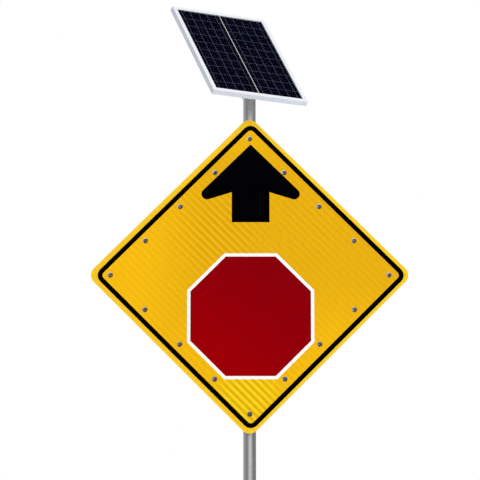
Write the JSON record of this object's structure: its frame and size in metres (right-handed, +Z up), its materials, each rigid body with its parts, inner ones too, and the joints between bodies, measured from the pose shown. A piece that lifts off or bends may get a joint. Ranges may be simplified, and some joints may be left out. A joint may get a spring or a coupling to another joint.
{
  "type": "solar flashing stop ahead sign",
  "caption": "Diamond warning sign with a stop-ahead symbol and an edge ring of LEDs on a round post, under a tilting solar panel, with a hinged control cabinet behind.",
  "frame": {"origin": "centre of the post's foot, on the post's axis", "axes": "+Z up along the post; the sign faces -Y; +X is to the right of someone who reads the sign"},
  "size_m": [1.2614, 0.5365, 2.1205],
  "materials": {
    "galvanised": "hot-dip galvanised, dull grey with a faint spangle",
    "aluminium_sheet": "mill finish sheet",
    "aluminium_rail": "extruded, mill finish",
    "cast_aluminium": "cast, slightly rough",
    "yellow_sheeting": "prismatic retroreflective film, yellow",
    "white_sheeting": "prismatic retroreflective film, white",
    "red_sheeting": "red ink over prismatic film",
    "black_film": "black non-reflective film",
    "dark_bezel": "moulded, glossy, dark blue-grey",
    "clear_lens": "clear polycarbonate",
    "led_emitter": "water-clear epoxy",
    "dark_board": "dark solder mask",
    "black_rubber": "matt EPDM",
    "black_cable": "PVC jacket",
    "zinc_hardware": "zinc plated",
    "stainless": "plain stainless",
    "cabinet_grey": "light grey powder coat, fine texture",
    "black_plastic": "moulded, matt",
    "controller_case": "moulded, dark grey",
    "chrome_lever": "polished",
    "red_button": "moulded, glossy",
    "panel_frame": "clear anodised, satin",
    "panel_glass": "low-iron toughened glass",
    "white_backsheet": "white polyester film",
    "solar_cell": "monocrystalline silicon, deep blue-black"
  },
  "bodies": {
    "root": {"battery": "black_plastic", "battery_strap": "stainless", "black_arrow": "black_film", "black_border": "black_film", "blind_rivets": "zinc_hardware", "cabinet_body": "cabinet_grey", "cabinet_bolts": "stainless", "cabinet_rails": "aluminium_rail", "cable_glands": "black_plastic", "charge_controller": "controller_case", "clip_bolts": "stainless", "equipment_plate": "galvanised", "hinge_barrels_cabinet": "stainless", "hinge_pins": "stainless", "led_bezels": "dark_bezel", "led_boards": "dark_board", "led_emitters": "led_emitter", "led_gaskets": "black_rubber", "led_harness": "black_cable", "led_lenses": "clear_lens", "led_nuts": "zinc_hardware", "post": "galvanised", "post_clips": "stainless", "red_octagon": "red_sheeting", "sign_blank": "aluminium_sheet", "sign_rail_lower": "aluminium_rail", "sign_rail_upper": "aluminium_rail", "terminal_block": "controller_case", "white_octagon": "white_sheeting", "wire_channel_lower_left": "aluminium_sheet", "wire_channel_lower_right": "aluminium_sheet", "wire_channel_upper_left": "aluminium_sheet", "wire_channel_upper_right": "aluminium_sheet", "yellow_sheeting": "yellow_sheeting"},
    "mast_head": {"mast_collar": "cast_aluminium", "collar_screws": "stainless", "tilt_yoke": "galvanised", "pivot_bolt": "stainless", "lock_bolt": "stainless", "cap_bolt": "stainless"},
    "solar_panel": {"cross_rail_lower": "aluminium_rail", "cross_rail_upper": "aluminium_rail", "junction_box": "black_plastic", "junction_box_lid": "black_plastic", "panel_backsheet": "white_backsheet", "panel_bolts": "stainless", "panel_frame_bottom": "panel_frame", "panel_frame_left": "panel_frame", "panel_frame_right": "panel_frame", "panel_frame_top": "panel_frame", "panel_glass": "panel_glass", "solar_cells": "solar_cell", "tilt_bracket": "galvanised"},
    "door": {"cabinet_door": "cabinet_grey", "door_gasket": "black_rubber", "hinge_barrels_door": "stainless", "latch_bushing": "zinc_hardware"},
    "latch": {"latch_cam": "zinc_hardware"},
    "switch": {"switch_lever": "chrome_lever"},
    "button": {"test_button": "red_button"}
  },
  "joints": [
    {"name": "panel_azimuth", "type": "hinge", "parent": "root", "child": "mast_head", "pos_m": [0, 0, 1.774], "axis": [0, 0, 1], "range_deg": [-180, 180]},
    {"name": "panel_tilt", "type": "hinge", "parent": "mast_head", "child": "solar_panel", "pos_m": [0, 0, 1.826], "axis": [0.8746, 0.4848, 0], "range_deg": [-30, 20]},
    {"name": "door_swing", "type": "hinge", "parent": "root", "child": "door", "pos_m": [-0.1145, 0.173, 1], "axis": [0, 0, 1], "range_deg": [0, 110]},
    {"name": "latch_turn", "type": "hinge", "parent": "door", "child": "latch", "pos_m": [0.084, 0.1798, 1], "axis": [0, 1, 0], "range_deg": [0, 90]},
    {"name": "power_switch", "type": "hinge", "parent": "root", "child": "switch", "pos_m": [-0.035, 0.088, 1.06], "axis": [1, 0, 0], "range_deg": [0, 30]},
    {"name": "test_push", "type": "slide", "parent": "root", "child": "button", "axis": [0, -1, 0], "range_m": [0, 0.0025], "stiffness_N_per_m": 400}
  ]
}
